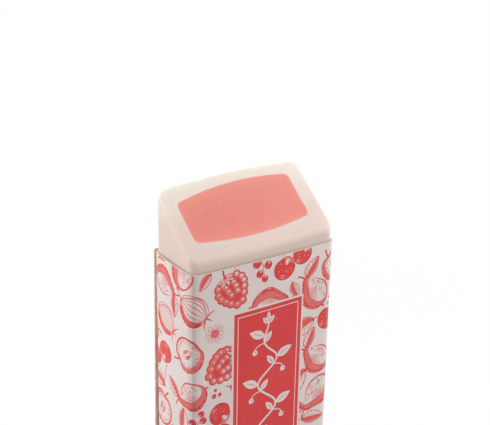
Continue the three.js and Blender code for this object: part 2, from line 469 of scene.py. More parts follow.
def pear(rng):
    """A smooth fruit, dark on one side, with stippling towards the light, a stalk and a leaf."""
    out = Drawing()
    light_dots, dark_dots = 62, 26

    def waist(rise):
        """How the fruit narrows towards its stalk, by the share of its height."""
        return 1 - 0.42 * smooth((rise + 0.15) / 1.05)

    def rim(x, across, along):
        angles = [i * tau / RIM_SIDES for i in range(RIM_SIDES)]
        return [(x + across * waist(sin(a)) * cos(a), along * sin(a)) for a in angles]

    out.add(leaf(2.9, 1.4, 6, 0.06, -0.3), 0.2, 2.3, 24)
    out.fill(rim(0, 1.95, 2.4), INK)
    out.fill(rim(0.18, 1.68, 2.24), TINT)
    out.fill(rim(0.52, 1.18, 1.9), PAPER)
    for k in range(7):
        x = -0.62 + 0.17 * k
        reach = 1.75 - 0.2 * k
        path = curve((x * 0.5, reach), (x * 1.5, 0.1), (x * 0.8, -reach), 9)
        out.stroke(path, 0.02, 0.11 - 0.008 * k, 0.02, INK)
    for _ in range(light_dots):
        a, r = radians(rng.uniform(-80, 80)), sqrt(rng.uniform(0.0, 0.85))
        x = 0.4 + 1.3 * r * waist(r * sin(a)) * cos(a)
        out.dot(x, 1.9 * r * sin(a), rng.uniform(0.045, 0.08), INK)
    for _ in range(dark_dots):
        a = radians(rng.uniform(125, 240))
        out.dot(1.78 * waist(sin(a)) * cos(a), 2.22 * sin(a), 0.045, PAPER)
    for turn in (-112, -90, -68):
        a = radians(turn)
        tip = (0.5 * cos(a), -2.35 + 0.5 * sin(a))
        out.stroke([(0, -2.3), tip], 0.16, 0.12, 0.03, INK)
    out.stroke(curve((0, 2.3), (0.0, 2.9), (-0.5, 3.3), 6), 0.3, 0.16, 0.24, INK)
    out.room(0, -0.5, 1.95)
    out.room(0, 1.2, 1.3)
    out.room(1.4, 2.9, 0.7)
    return out


def loose_berries():
    """A small loose group of berries."""
    out = Drawing()
    for x, y, r in ((0, 0.3, 0.34), (-0.5, -0.32, 0.28), (0.48, -0.36, 0.24)):
        out.dot(x, y, r, INK, None)
        out.stroke(arc(x, y, r * 0.6, 10, 95, 4), 0.0, 0.09, 0.0, PAPER)
        out.dot(x, y - r, 0.06, INK)
    out.room(0, 0, 0.75)
    return out


# The blank's section in plan

FOLD_STEPS = 39


def bow_at(x, half_span, bow):
    """A bowed panel's height over its two ends."""
    share = min(abs(x) / half_span, 1.0)
    return bow * (1 - share * share)


def flap_face(x):
    return SLEEVE_DEPTH / 2 + bow_at(x, FOLD_START_X, BACK_BOW)


def back_face(x):
    """The back panel's outer face: it rides over the flap, then comes down to the block."""
    return flap_face(x) + LAP_THICKNESS * (1 - smooth((x - FLAP_END_X - REST_PAST_FLAP) / LAP_STEP))


def front_face(x):
    return -SLEEVE_DEPTH / 2 - bow_at(x, FOLD_START_X, FRONT_BOW)


def fold(cx, cy, start_degrees):
    return arc(cx, cy, FOLD_RADIUS, start_degrees, start_degrees + 90, FOLD_STEPS)


class Section:
    """The blank's outer face from the flap's end round to the free edge, by its arc length s."""

    def __init__(self, step=0.04):
        x, y, half = FOLD_START_X, FOLD_START_Y, SLEEVE_WIDTH / 2

        def along(start, end):
            return np.linspace(start, end, int(abs(end - start) / step))

        self.points = []
        self.starts = {}
        self.run("flap", [(u, flap_face(u)) for u in along(FLAP_END_X, -x)])
        self.run("back_left_fold", fold(-x, y, 90))
        self.run("left", [(-half - bow_at(v, y, SIDE_BOW), v) for v in along(y, -y)])
        self.run("front_left_fold", fold(-x, -y, 180))
        self.run("front", [(u, front_face(u)) for u in along(-x, x)])
        self.run("front_right_fold", fold(x, -y, 270))
        self.run("right", [(half + bow_at(v, y, SIDE_BOW), v) for v in along(-y, y)])
        self.run("back_right_fold", fold(x, y, 0))
        self.run("back", [(u, back_face(u)) for u in along(x, -half - EDGE_OVERHANG_AT_RIM)])
        self.xy = np.array(self.points)
        gaps = np.hypot(*np.diff(self.xy, axis=0).T)
        self.s = np.concatenate([[0.0], np.cumsum(gaps)])
        self.tangent = np.gradient(self.xy, self.s, axis=0)
        self.tangent /= np.linalg.norm(self.tangent, axis=1)[:, None]
        self.length = float(self.s[-1])
        self.starts = {name: float(self.s[i]) for name, i in self.starts.items()}

    def run(self, name, points):
        self.starts[name] = max(len(self.points) - 1, 0)
        self.points.extend(points[1:] if self.points else points)

    def s_on_front(self, x):
        """Arc length at a place across the front panel."""
        first = np.searchsorted(self.s, self.starts["front"])
        last = np.searchsorted(self.s, self.starts["front_right_fold"])
        return float(np.interp(x, self.xy[first:last + 1, 0], self.s[first:last + 1]))

    def directions(self, s):
        """Unit tangents and outward normals, as rows of x, y and z."""
        t = np.stack([np.interp(s, self.s, self.tangent[:, k]) for k in (0, 1)], axis=1)
        t /= np.linalg.norm(t, axis=1)[:, None]
        zero = np.zeros(len(t))
        return np.stack([t[:, 0], t[:, 1], zero], axis=1), np.stack([t[:, 1], -t[:, 0], zero], axis=1)

    def from_crease(self, s):
        """How far a place lies past the middle of the nearest fold, along the section."""
        folds = [start + pi * FOLD_RADIUS / 4 for name, start in self.starts.items() if "fold" in name]
        gaps = np.asarray(s)[:, None] - np.array(folds)
        return gaps[np.arange(len(gaps)), np.abs(gaps).argmin(axis=1)]

    def wrap(self, s, z, depth):
        """Places of the sheet's points, depth below its outer face."""
        xy = np.stack([np.interp(s, self.s, self.xy[:, k]) for k in (0, 1)], axis=1)
        return np.column_stack([xy - depth * self.directions(s)[1][:, :2], z])

    def free_edge(self, z):
        """Where the free edge lies along the section: it leans out from the mouth down to the rim."""
        return self.length - EDGE_LEAN * z / SLEEVE_LENGTH

    def stations(self):
        """Where the sheet is cut from mouth to rim, close together in the folds."""
        names = [*self.starts, "end"]
        ends = [*self.starts.values(), self.length]
        pitch = {"flap": 1.6, "front": 1.3, "left": 1.2, "right": 1.2, "back": 0.8}
        out = []
        for name, start, end in zip(names, ends, ends[1:]):
            count = round((end - start) / pitch.get(name, 0.18))
            out += [mix(start, end, i / count) for i in range(count)]
        return out[1:]


# The print: motifs spread over the whole blank round the label

def least_room(footprint, taken, gap):
    """The narrowest gap to what is placed already, or None where it is under the least gap."""
    least = inf
    for x, y, r in footprint:
        for tx, ty, tr in taken:
            room = hypot(x - tx, y - ty) - r - tr
            if room < gap:
                return None
            least = min(least, room)
    return least


def best_place(motif, sizes, places, label, taken, gap, rng):
    """The tightest fit for a motif among the places offered that lie clear of the label."""
    x0, y0, x1, y1 = label
    best = None
    for x, y in places:
        if x0 - LABEL_CLEAR < x < x1 + LABEL_CLEAR and y0 - LABEL_CLEAR < y < y1 + LABEL_CLEAR:
            continue
        degrees, size = rng.uniform(0, 360), rng.uniform(*sizes)
        move = placing(x, y, degrees, size)
        footprint = [(*move((fx, fy)), r * size) for fx, fy, r in motif.footprint]
        room = least_room(footprint, taken, gap)
        if room is not None and (best is None or room < best[0]):
            best = (room, x, y, degrees, size)
    return best


def spread(layer, kinds, tries, offers, gap, low, high, label, rng):
    """Places motifs by turns, each one where it fits most tightly among the places offered."""
    deck = []
    for _ in range(tries):
        if not deck:
            deck = list(kinds)
            rng.shuffle(deck)
        make, sizes = deck.pop()
        motif = make()
        places = [(rng.uniform(low[0], high[0]), rng.uniform(low[1], high[1])) for _ in range(offers)]
        best = best_place(motif, sizes, places, label, layer.footprint, gap, rng)
        if best:
            layer.add(motif, *best[1:])


def rectangle(box, grow):
    """A box's outline, with the box grown on all sides."""
    x0, y0, x1, y1 = box
    return [(x0 - grow, y0 - grow), (x1 + grow, y0 - grow), (x1 + grow, y1 + grow), (x0 - grow, y1 + grow)]


def vine_leaf(length, width):
    """A pale leaf along +X with its midrib left red."""
    out = Drawing()
    upper = curve((0, 0), (length * 0.4, width), (length, 0), 10)
    lower = curve((0, 0), (length * 0.4, -width), (length, 0), 10)
    out.fill(upper + lower[::-1][1:-1], PAPER)
    out.stroke([(length * 0.16, 0), (length * 0.5, 0.01), (length * 0.84, 0)], 0.06, 0.09, 0.0, INK)
    return out


def label_ornament(layer, label):
    """The red label with a plain line border and a leafy vine."""
    frames = ((LABEL_MARGIN, PAPER), (0, INK), (-LABEL_INSET, PAPER), (-LABEL_INSET - LABEL_LINE, INK))
    for grow, tone in frames:
        layer.fill(rectangle(label, grow), tone)
    x0, y0, x1, y1 = label
    middle = (x0 + x1) / 2
    start, end = y0 + VINE_INSET, y1 - VINE_INSET
    steps = 150

    def stem_at(t):
        ease = min(1.0, 6 * t, 6 * (1 - t))
        return (middle + VINE_SWING * ease * sin(t * VINE_WAVES * tau), mix(start, end, t))

    layer.stroke([stem_at(i / steps) for i in range(steps + 1)], 0.24, 0.32, 0.24, PAPER)
    for k in range(2 * VINE_WAVES):
        t = (k + 0.5) / (VINE_WAVES * 2)
        side = 1 if k % 2 else -1
        x, y = stem_at(t)
        layer.add(vine_leaf(2.7, 1.3), x, y, 90 + side * 66)
        x, y = stem_at(t - 0.032)
        layer.add(vine_leaf(1.9, 0.9), x, y, 90 - side * 38)
        bx, by = x - side * 1.5, y - 1.0
        layer.stroke(curve((x, y - 0.1), (bx, y - 0.15), (bx, by), 6), 0.16, 0.14, 0.12, PAPER)
        layer.dot(bx, by - 0.2, 0.42, PAPER, 16)
        layer.dot(bx + 0.12, by - 0.1, 0.11, INK, 8)
    for t, degrees in ((0.0, -90), (1.0, 90)):
        for turn, length in ((-42, 1.4), (42, 1.4), (0, 1.8)):
            layer.add(vine_leaf(length, 0.7), *stem_at(t), degrees + turn)


def sheet_print(section, seed=11):
    """The whole blank's print."""
    rng = random.Random(seed)
    left, right = section.s_on_front(LABEL_LEFT_X), section.s_on_front(LABEL_RIGHT_X)
    label = (left, LABEL_END, right, SLEEVE_LENGTH - LABEL_END)
    heroes = [
        (lambda: cherry_pair(rng), (1.0, 1.15)),
        (lambda: raspberry(rng), (1.45, 1.7)),
        (lambda: raspberry(rng), (1.45, 1.7)),
        (lambda: half_apple(rng), (1.15, 1.35)),
        (lambda: pear(rng), (1.1, 1.3)),
        (lambda: pear(rng), (1.1, 1.3)),
        (lambda: gooseberry(1.7, rng), (1.3, 1.5)),
        (currants, (1.1, 1.25)),
    ]
    leaves = [
        (lambda: leaf(4.8, 2.3, 8, 0.1, 0.6), (0.95, 1.25)),
        (lambda: leaf(3.4, 1.7, 6, 0.07, -0.4, bold=True), (0.95, 1.25)),
        (daisy, (1.05, 1.3)),
        (lambda: leaf(4.2, 1.9, 7, 0.08, -0.5), (0.95, 1.25)),
    ]
    small = [
        (lambda: leaf(3.4, 1.7, 6, 0.07, 0.3, bold=True), (0.7, 0.9)),
        (loose_berries, (0.9, 1.2)),
    ]
    low = (section.starts["back_left_fold"] - 1.0, -0.5)
    high = (section.length + 0.5, SLEEVE_LENGTH + 0.5)
    layer = Drawing()
    for kinds, tries, offers, gap in ((heroes, 110, 130, 0.12), (leaves, 90, 90, 0.1), (small, 40, 60, 0.15)):
        spread(layer, kinds, tries, offers, gap, low, high, label, rng)
    label_ornament(layer, label)
    return layer


# The sleeve's mesh: the blank cut along every printed outline, wrapped and given its thickness

# How near two points of the sheet may lie: while the outlines are cut, and in the mesh itself
FINE_GAP = 1e-4
MESH_GAP = 2e-3

# The triangulation's setting that keeps the triangles inside outlines and drops the rest
INSIDE_OUTLINES = 1


def turned_left(outline):
    """The outline anticlockwise."""
    area = sum(a[0] * b[1] - b[0] * a[1] for a, b in zip(outline, outline[1:] + outline[:1]))
    return outline if area > 0 else outline[::-1]


def cut_sheet(sheet, outlines, edges, gap):
    """Cuts the sheet along outlines and edges: its points, its triangles and the outlines over each."""
    points, pairs, faces = [], [], []
    for outline in [sheet, *outlines]:
        faces.append(list(range(len(points), len(points) + len(outline))))
        points += turned_left(list(outline))
    for start, end in edges:
        pairs.append((len(points), len(points) + 1))
        points += [start, end]
    vectors = [Vector(p) for p in points]
    made, _, cut, _, _, cover = delaunay_2d_cdt(vectors, pairs, faces, INSIDE_OUTLINES, gap)
    inside = [(triangle, over) for triangle, over in zip(cut, cover) if 0 in over]
    used = sorted({i for triangle, _ in inside for i in triangle})
    place = {old: new for new, old in enumerate(used)}
    flat = np.array([made[i][:] for i in used])
    triangles = np.array([[place[i] for i in triangle] for triangle, _ in inside])
    return flat, triangles, [over for _, over in inside]


def printed_sheet(sheet, shapes, lines):
    """The sheet cut along the lines and wherever its tone changes: points, triangles and tones."""
    flat, triangles, cover = cut_sheet(sheet, [outline for _, outline in shapes], [], FINE_GAP)
    order = [PAPER, *(tone for tone, _ in shapes)]
    tones = [order[max(over)] for over in cover]
    sides = {}
    for triangle, tone in zip(triangles.tolist(), tones):
        for a, b in zip(triangle, triangle[1:] + triangle[:1]):
            sides.setdefault((min(a, b), max(a, b)), set()).add(tone)
    changes = [(flat[a], flat[b]) for (a, b), found in sides.items() if len(found) > 1]
    points, faces, _ = cut_sheet(sheet, [], [*changes, *lines], MESH_GAP)
    tree = BVHTree.FromPolygons([(x, y, 0) for x, y in flat], triangles.tolist(), all_triangles=True)
    middles = points[faces].mean(axis=1)
    return points, faces, np.array([tones[tree.find_nearest((x, y, 0))[2]] for x, y in middles])


def boundary(triangles):
    """The sheet's edge as one anticlockwise loop of point numbers."""
    directed = {(int(t[k]), int(t[(k + 1) % 3])) for t in triangles for k in range(3)}
    follows = {a: b for a, b in directed if (b, a) not in directed}
    start = min(follows)
    loop = [start]
    while follows[loop[-1]] != start:
        loop.append(follows[loop[-1]])
    return loop


def grid_lines(section):
    """Lines from mouth to rim at every station, and level lines between them."""
    over, levels = 1.0, 12
    lines = [((s, -over), (s, SLEEVE_LENGTH + over)) for s in section.stations()]
    for i in range(1, levels):
        z = SLEEVE_LENGTH * i / levels
        lines.append(((-over, z), (section.length + over, z)))
    return lines


def sheet_outline(section, inset):
    low, high = inset, SLEEVE_LENGTH - inset
    right_low, right_high = (section.free_edge(z) - inset for z in (low, high))
    return [(inset, low), (right_low, low), (right_high, high), (inset, high)]


def mitred(rim, by):
    """The rim pushed outwards, and the way out across each of its sides."""
    side = np.roll(rim, -1, axis=0) - rim
    away = np.stack([side[:, 1], -side[:, 0]], axis=1)
    away /= np.linalg.norm(away, axis=1)[:, None]
    turn = away + np.roll(away, 1, axis=0)
    corner = turn * (2 / (turn * turn).sum(axis=1))[:, None]
    return rim + by * corner, away


def make_sleeve(section, materials):
    """The printed blank: its two faces, joined round the rim by a bevel, the cut edge and a bevel."""
    lines = grid_lines(section)
    outline = sheet_outline(section, CUT_BEVEL)
    outer, outer_faces, tones = printed_sheet(outline, sheet_print(section).shapes, lines)
    loop = boundary(outer_faces)
    rim = outer[loop]
    pushed, away = mitred(rim, CUT_BEVEL)
    inner, inner_faces, _ = cut_sheet([tuple(p) for p in rim], [], lines, MESH_GAP)
    inner_faces = inner_faces[:, ::-1]
    lookup = {tuple(np.round(p, 3)): i for i, p in enumerate(inner)}
    inner_loop = np.array([lookup[tuple(np.round(p, 3))] for p in rim])

    sheets = ((outer, 0.0), (pushed, CUT_BEVEL), (pushed, BOARD - CUT_BEVEL), (inner, BOARD))
    places = np.vstack([section.wrap(*points.T, depth) for points, depth in sheets])
    count = len(rim)
    first = len(outer)
    this_one = np.arange(count)
    next_one = np.roll(this_one, -1)
    rings = (np.array(loop), first + this_one, first + count + this_one, first + 2 * count + inner_loop)
    faces = [*outer_faces.tolist(), *(inner_faces + first + 2 * count).tolist()]
    kinds = [*tones.tolist(), *[BOARD_INSIDE] * len(inner_faces)]
    out_normal = section.directions(outer[:, 0])[1]
    in_normal = -section.directions(inner[:, 0])[1]
    normals = [out_normal[outer_faces].reshape(-1, 3), in_normal[inner_faces].reshape(-1, 3)]

    tangent, normal = section.directions(rim[:, 0])
    upright = np.column_stack([np.zeros((count, 2)), away[:, 1]])

    def facing(ends):
        """How the three strips round the rim face along their upper and their lower edges."""
        edge = away[:, :1] * tangent[ends] + upright
        return (normal[ends], edge), (edge, edge), (edge, -normal[ends])

    for ring, below, (top, low), (top_next, low_next) in zip(
            rings, rings[1:], facing(this_one), facing(next_one)):
        faces += np.stack([ring, below, below[next_one], ring[next_one]], axis=1).tolist()
        normals.append(np.stack([top, low, low_next, top_next], axis=1).reshape(-1, 3))
        kinds += [BOARD_EDGE] * count
    obj = make_object("printed_sleeve", places, faces, materials, kinds, np.vstack(normals))
    across = np.concatenate([points[:, 0] for points, _ in sheets])
    store(obj, "crease", section.from_crease(across))
    return obj


def store(obj, name, values):
    """Stores one number for each point of a mesh, for its material."""
    attribute = obj.data.attributes.new(name, "FLOAT", "POINT")
    attribute.data.foreach_set("value", values)


def new_object(name, data):
    """A new object in the scene."""
    obj = bpy.data.objects.new(name, data)
    bpy.context.scene.collection.objects.link(obj)
    return obj


def make_object(name, places, faces, materials, kinds=None, normals=None):
    """A mesh object from places in the sleeve's own millimetres."""
    mesh = bpy.data.meshes.new(name)
    mesh.from_pydata([to_frame(*p) for p in places], [], faces)
    for material in materials:
        mesh.materials.append(material)
    if kinds is not None:
        mesh.polygons.foreach_set("material_index", kinds)
    mesh.polygons.foreach_set("use_smooth", [True] * len(faces))
    mesh.update()
    if normals is not None:
        mesh.normals_split_custom_set(normals.tolist())
    return new_object(name, mesh)


# The block and its core

# How finely the block's outline is drawn, and its least corner radius
LONG_STEPS, SHORT_STEPS, CORNER_STEPS = 44, 12, 10
LEAST_CORNER = 0.12


def barrel_stations():
    """Where each point of an outline lies: its share across and along, and the way it faces."""
    stations = []
    for k, (u, v) in enumerate(((1, -1), (1, 1), (-1, 1), (-1, -1))):
        start = 90 * k - 90
        steps = (LONG_STEPS, SHORT_STEPS)[k % 2]
        for share in (2 * i / steps - 1 for i in range(1, steps)):
            stations.append((u, v * share, start) if k % 2 else (u * share, v, start))
        stations += [(u, v, start + 90 * i / CORNER_STEPS) for i in range(CORNER_STEPS + 1)]
    u, v, degrees = np.array(stations, dtype=float).T
    return u, v, np.radians(degrees)


def barrel_outline(barrel, inset=0.0):
    """A bowed outline, anticlockwise from the front left, drawn in by one inset or one for each point."""
    u, v, angle = barrel_stations()
    radius = np.maximum(barrel.corner - inset, LEAST_CORNER)
    x = barrel.half_width - inset - radius
    y = barrel.half_depth - inset - radius
    bow = np.where(v < 0, -barrel.front_bow, barrel.back_bow) * (1 - u * u)
    tilt = barrel.back_tilt * u * x * (1 + v) / 2
    across = barrel.x + u * x + radius * np.cos(angle)
    along = barrel.y + v * y + radius * np.sin(angle) + bow + tilt
    return np.stack([across, along], axis=1)


def outward(points):
    """Outward normals of an outline."""
    along = np.roll(points, -1, axis=0) - np.roll(points, 1, axis=0)
    along /= np.linalg.norm(along, axis=1)[:, None]
    return np.stack([along[:, 1], -along[:, 0]], axis=1)


def ripple(x, y, z, size, height):
    return height * noise.noise(Vector((x, y, z)) / size)


def slant_at(x, y):
    return y * SLANT + x * SKEW


def blade_waves(x, y, pattern):
    """The faint waves that a blade leaves, in another pattern on each cut."""
    return ripple(x, 2.4 * y, pattern, 3.2, 0.02)


def top_cut(x, y):
    plane = SLEEVE_LENGTH + TIP_ABOVE_MOUTH + slant_at(x, y - BLOCK.half_depth)
    return plane + blade_waves(x, y, 3.7)


def bottom_cut(x, y):
    return LIFT_ABOVE_RIM + slant_at(x, y + BLOCK.half_depth) + blade_waves(x, y, 8.1)


def edge_radius(nx, ny, up):
    """How far an edge is rounded: a sharp dihedral less, a blunt one more."""
    blunt = max(0.0, -ny * up) ** 2
    sharp = max(0.0, ny * up) ** 2
    sides = 1 - blunt - sharp
    return blunt * FRONT_EDGE_RADIUS + sharp * BACK_EDGE_RADIUS + sides * SIDE_EDGE_RADIUS


def rounded_edge(barrel, cut, up, steps=9):
    """Rings of a true round between the wall and a slanted cut, from the wall to the cut."""
    points = barrel_outline(barrel)
    normals = outward(points)
    rise = (SLANT * normals[:, 1] + SKEW * normals[:, 0]) * up
    corner = np.arctan2(1.0, rise)
    radius = np.array([
        edge_radius(*normal, up) * (1 + ripple(*point, 5.0 * up, 2.7, 0.12))
        for normal, point in zip(normals, points)
    ])
    reach = radius / np.tan(corner / 2)
    rings = []
    for k in range(steps + 1):
        angle = (pi - corner) * k / steps
        drawn_in = barrel_outline(barrel, radius * (1 - np.cos(angle)))
        height = reach - radius * np.sin(angle)
        rings.append([(x, y, cut(*wall) - up * h) for (x, y), wall, h in zip(drawn_in, points, height)])
    return rings


def between(ring, target, cut, shares):
    """Rings on the cut between a ring and another outline."""
    out = []
    for share in shares:
        xy = [(mix(a[0], b[0], share), mix(a[1], b[1], share)) for a, b in zip(ring, target)]
        out.append([(x, y, cut(x, y)) for x, y in xy])
    return out


def wall_rings(points, start, end, count, wave):
    """Rings up a wall between two rings, with faint waves."""
    normals = outward(points)
    rings = []
    for k in range(1, count):
        share = k / count
        ease = min(1.0, 6 * share, 6 * (1 - share))
        ring = []
        for (x, y), (nx, ny), a, b in zip(points, normals, start, end):
            z = mix(a[2], b[2], share)
            push = ease * ripple(x, y, z, 5.0, wave)
            ring.append((x + nx * push, y + ny * push, z))
        rings.append(ring)
    return rings


def skin(rings, closed):
    """Places and faces of a skin through rings; closed joins the last ring to the first."""
    count = len(rings[0])
    places = [p for ring in rings for p in ring]
    faces = []
    for k in range(len(rings) if closed else len(rings) - 1):
        low, high = k * count, (k + 1) % len(rings) * count
        for i in range(count):
            j = (i + 1) % count
            faces.append((low + i, low + j, high + j, high + i))
    return places, faces


def paint_border(obj, rings, distances):
    """Stores how far each point lies from the line between cream and pink, in millimetres."""
    values = []
    for ring, distance in zip(rings, distances):
        values += distance if isinstance(distance, list) else [distance] * len(ring)
    store(obj, "border", values)


# Where the cut's rings lie between the rounded edge and the line between cream and pink
BORDER_SHARES = (0.12, 0.3, 0.5, 0.68, 0.82, 0.91, 0.965, 1.0)


def gap_to(ring, target):
    return [dist(a[:2], b[:2]) for a, b in zip(ring, target)]


def make_body(materials):
    """The cream body: its wall and rounded edges outside, and the channel for the core inside."""
    points = barrel_outline(BLOCK)
    channel = barrel_outline(CORE).tolist()
    top = rounded_edge(BLOCK, top_cut, 1)
    bottom = rounded_edge(BLOCK, bottom_cut, -1)
    top_face = between(top[-1], channel, top_cut, BORDER_SHARES)
    bottom_face = between(bottom[-1], channel, bottom_cut, BORDER_SHARES)
    wall = wall_rings(points, bottom[0], top[0], count=40, wave=0.012)
    rings = [*bottom_face[::-1], *bottom[::-1], *wall, *top, *top_face]
    places, faces = skin(rings, closed=True)
    obj = make_object("cream_body", places, faces, materials)
    paint_border(obj, rings, [gap_to(ring, channel) for ring in rings])
    return obj


def make_core(materials):
    """The pink core, flush with the body at both cuts."""
    outline = barrel_outline(CORE).tolist()
    reach = CORE.half_width - CORE.half_depth
    spine = [(min(max(x - CORE.x, -reach), reach) + CORE.x, CORE.y) for x, _ in outline]
    shares = (0.0, 0.015, 0.04, 0.09, 0.2, 0.4, 0.65, 0.9)
    top = between(outline, spine, top_cut, shares)
    bottom = between(outline, spine, bottom_cut, shares)
    rings = [*bottom[::-1], *top]
    places, faces = skin(rings, closed=False)
    count = len(outline)
    faces.append(tuple(reversed(range(count))))
    faces.append(tuple(range(len(places) - count, len(places))))
    obj = make_object("pink_core", places, faces, materials)
    paint_border(obj, rings, [gap_to(ring, outline) for ring in rings])
    return obj


# Materials

def srgb(red, green, blue):
    """A colour given as 0 to 255 display values."""

    def linear(value):
        share = value / 255
        return share / 12.92 if share <= 0.04045 else ((share + 0.055) / 1.055) ** 2.4

    return (linear(red), linear(green), linear(blue), 1.0)


class Shading:
    """The nodes of a material or of the world."""

    def __init__(self, owner):
        owner.use_nodes = True
        self.nodes = owner.node_tree.nodes
        self.links = owner.node_tree.links

    def node(self, kind, inputs=None, **settings):
        """The outputs of a new node, with its settings and inputs given."""
        made = self.nodes.new(kind)
        for key, value in settings.items():
            setattr(made, key, value)
        for key, value in (inputs or {}).items():
            self.put(made.inputs[key], value)
        return made.outputs

    def put(self, socket, value):
        if isinstance(value, bpy.types.NodeSocket):
            self.links.new(value, socket)
        else:
            socket.default_value = value

    def math(self, operation, a, b=0.0, clamp=False):
        return self.node("ShaderNodeMath", {0: a, 1: b}, operation=operation, use_clamp=clamp)[0]

    def ramp(self, value, low, high, start=0.0, end=1.0):
        """A smooth ramp from start at low to end at high."""
        inputs = {"Value": value, "From Min": low, "From Max": high, "To Min": start, "To Max": end}
        return self.node("ShaderNodeMapRange", inputs, interpolation_type="SMOOTHSTEP")["Result"]

    def blend(self, share, a, b):
        return self.node("ShaderNodeMix", {"Factor": share, "A": a, "B": b}, data_type="RGBA")["Result"]

    def blend_shaders(self, share, a, b):
        return self.node("ShaderNodeMixShader", {"Fac": share, 1: a, 2: b})["Shader"]

    def seen_directly(self):
        """A share that is 1 where a ray comes from the camera, a gloss or clear matter."""
        path = self.node("ShaderNodeLightPath")
        share = path["Is Camera Ray"]
        for ray in ("Is Glossy Ray", "Is Transmission Ray"):
            share = self.math("ADD", share, path[ray], clamp=True)
        return share


class Finish(Shading):
    """A material in the making."""

    def __init__(self, name):
        self.material = bpy.data.materials.new(name)
        super().__init__(self.material)
        self.shader = self.nodes["Principled BSDF"]
        self.place = self.node("ShaderNodeTexCoord")["Object"]

    def attribute(self, name):
        return self.node("ShaderNodeAttribute", attribute_name=name)["Fac"]

    def noise(self, size, detail=2.0, stretch=(1.0, 1.0, 1.0)):
        """Noise whose features are about size millimetres across."""
        scale = [s / (size * MM) for s in stretch]
        place = self.node("ShaderNodeMapping", {"Vector": self.place, "Scale": scale})["Vector"]
        return self.node("ShaderNodeTexNoise", {"Vector": place, "Scale": 1.0, "Detail": detail})["Fac"]

    def mottle(self, tone, other, pattern, low, high, share=1.0):
        """The tone with another one in it where a pattern rises from low to high, up to a share."""
        return self.blend(self.ramp(pattern, low, high, 0.0, share), tone, other)

    def spot(self, tone, point, radius, colour, strength):
        """The tone with a small soft spot of another colour at a point, up to a strength."""
        gap = self.node("ShaderNodeVectorMath", {0: self.place, 1: point}, operation="DISTANCE")["Value"]
        return self.blend(self.ramp(gap, 0.3 * radius * MM, radius * MM, strength, 0.0), tone, colour)

    def bump(self, height, depth):
        """Bump of a height map, depth millimetres from low to high."""
        inputs = {"Strength": 1.0, "Distance": depth * MM, "Height": height}
        self.put(self.shader.inputs["Normal"], self.node("ShaderNodeBump", inputs)["Normal"])

    def finish(self, colour, roughness, **sockets):
        self.put(self.shader.inputs["Base Color"], colour)
        self.put(self.shader.inputs["Roughness"], roughness)
        for name, value in sockets.items():
            self.put(self.shader.inputs[name.replace("_", " ")], value)
        return self.material


# Painted shade along each fold, which also stands for the pressed crease's grey: where each band starts and
# ends past the fold's middle, and how grey it is
CREASE_SHADE_START = (-0.25, -0.08)
CREASE_SHADE_END = (0.1, 0.6)
CREASE_SHADE_TONE = 0.8

# Small rubbed marks on the label: place across and up, and radius
RUBS = ((1.5, 39.0, 0.13), (1.66, 38.8, 0.12), (1.84, 38.86, 0.1))
RUBBED_INK = srgb(240, 170, 165)
RUBBED_TONE = 0.6

# How deep the card's relief is and the raw board's, in millimetres
CARD_RELIEF = 0.0035
BOARD_RELIEF = 0.02


def coated(name, colour, deep, roughness, rubs=()):
    """The card's coated face in one tone, a little uneven, with painted shade along the folds."""
    made = Finish(name)
    fibres = made.noise(0.22, 3.0, (1.0, 1.0, 0.5))
    tone = made.mottle(colour, deep, made.noise(7.0), 0.35, 0.7)
    tone = made.mottle(tone, deep, fibres, 0.3, 0.75, 0.35)
    # Painted shade along the folds, partly a pressed crease's grey: the tone turns grey in a band just past
    # each fold's middle
    past = made.attribute("crease")
    crease_shade = made.math("MULTIPLY", made.ramp(past, *CREASE_SHADE_START), made.ramp(past, *CREASE_SHADE_END, 1.0, 0.0))
    painted_shade = [*(channel * CREASE_SHADE_TONE for channel in deep[:3]), 1.0]
    tone = made.blend(crease_shade, tone, painted_shade)
    for x, z, radius in rubs:
        tone = made.spot(tone, to_frame(x, front_face(x), z), radius, RUBBED_INK, RUBBED_TONE)
    made.bump(made.math("ADD", fibres, made.math("MULTIPLY", made.noise(2.6), 3.0)), CARD_RELIEF)
    gloss = made.ramp(made.noise(1.4), 0.3, 0.7, roughness - 0.04, roughness + 0.05)
    return made.finish(tone, gloss, Specular_IOR_Level=0.4)


def raw_board(name, light, dark):
    """Uncoated grey-brown fibres, on the cut edges and inside."""
    made = Finish(name)
    fibres = made.noise(0.12, 4.0, (1.0, 1.0, 0.35))
    tone = made.mottle(light, dark, fibres, 0.3, 0.7)
    tone = made.mottle(tone, dark, made.noise(3.0), 0.4, 0.7, 0.4)
    made.bump(fibres, BOARD_RELIEF)
    return made.finish(tone, 0.85, Specular_IOR_Level=0.2)


# Tiny dark specks on the core's upper face: place across and along, and radius
SPECKS = ((-5.96, 0.53, 0.14), (-3.1, 0.71, 0.13))
SPECK = srgb(120, 62, 60)
SPECK_TONE = 0.5

# How deep light passes into the vinyl, and over which distance from the border this sets in, in millimetres
VINYL_DEPTH = 1.0
BORDER_BAND = (0.1, 1.6)

# How far the border between cream and pink wanders, and how much each takes of the other over which distance
BORDER_WANDER = 0.12
BLEED_TONE = 0.5
BLEED_FADE = (-0.12, 0.2)

# How deep the vinyl's relief is and the glue's, in millimetres
VINYL_RELIEF = 0.012
GLUE_RELIEF = 0.02

# The heights between which the block's colour turns from painted shade, darker low down near the mouth, to
# painted light, lighter at the tip, in millimetres
PAINTED_SHADE_BELOW, PAINTED_LIGHT_ABOVE = 48.0, 56.0

# A faint brown band where the card's mouth meets the block, partly grime and partly painted shade in the gap:
# the heights over which it comes and goes
MOUTH_GRIME_AND_SHADE_RISE = (45.0, 47.9)
MOUTH_GRIME_AND_SHADE_FALL = (48.0, 48.4)
MOUTH_GRIME_AND_SHADE = srgb(184, 138, 116)
MOUTH_GRIME_AND_SHADE_TONE = 0.16


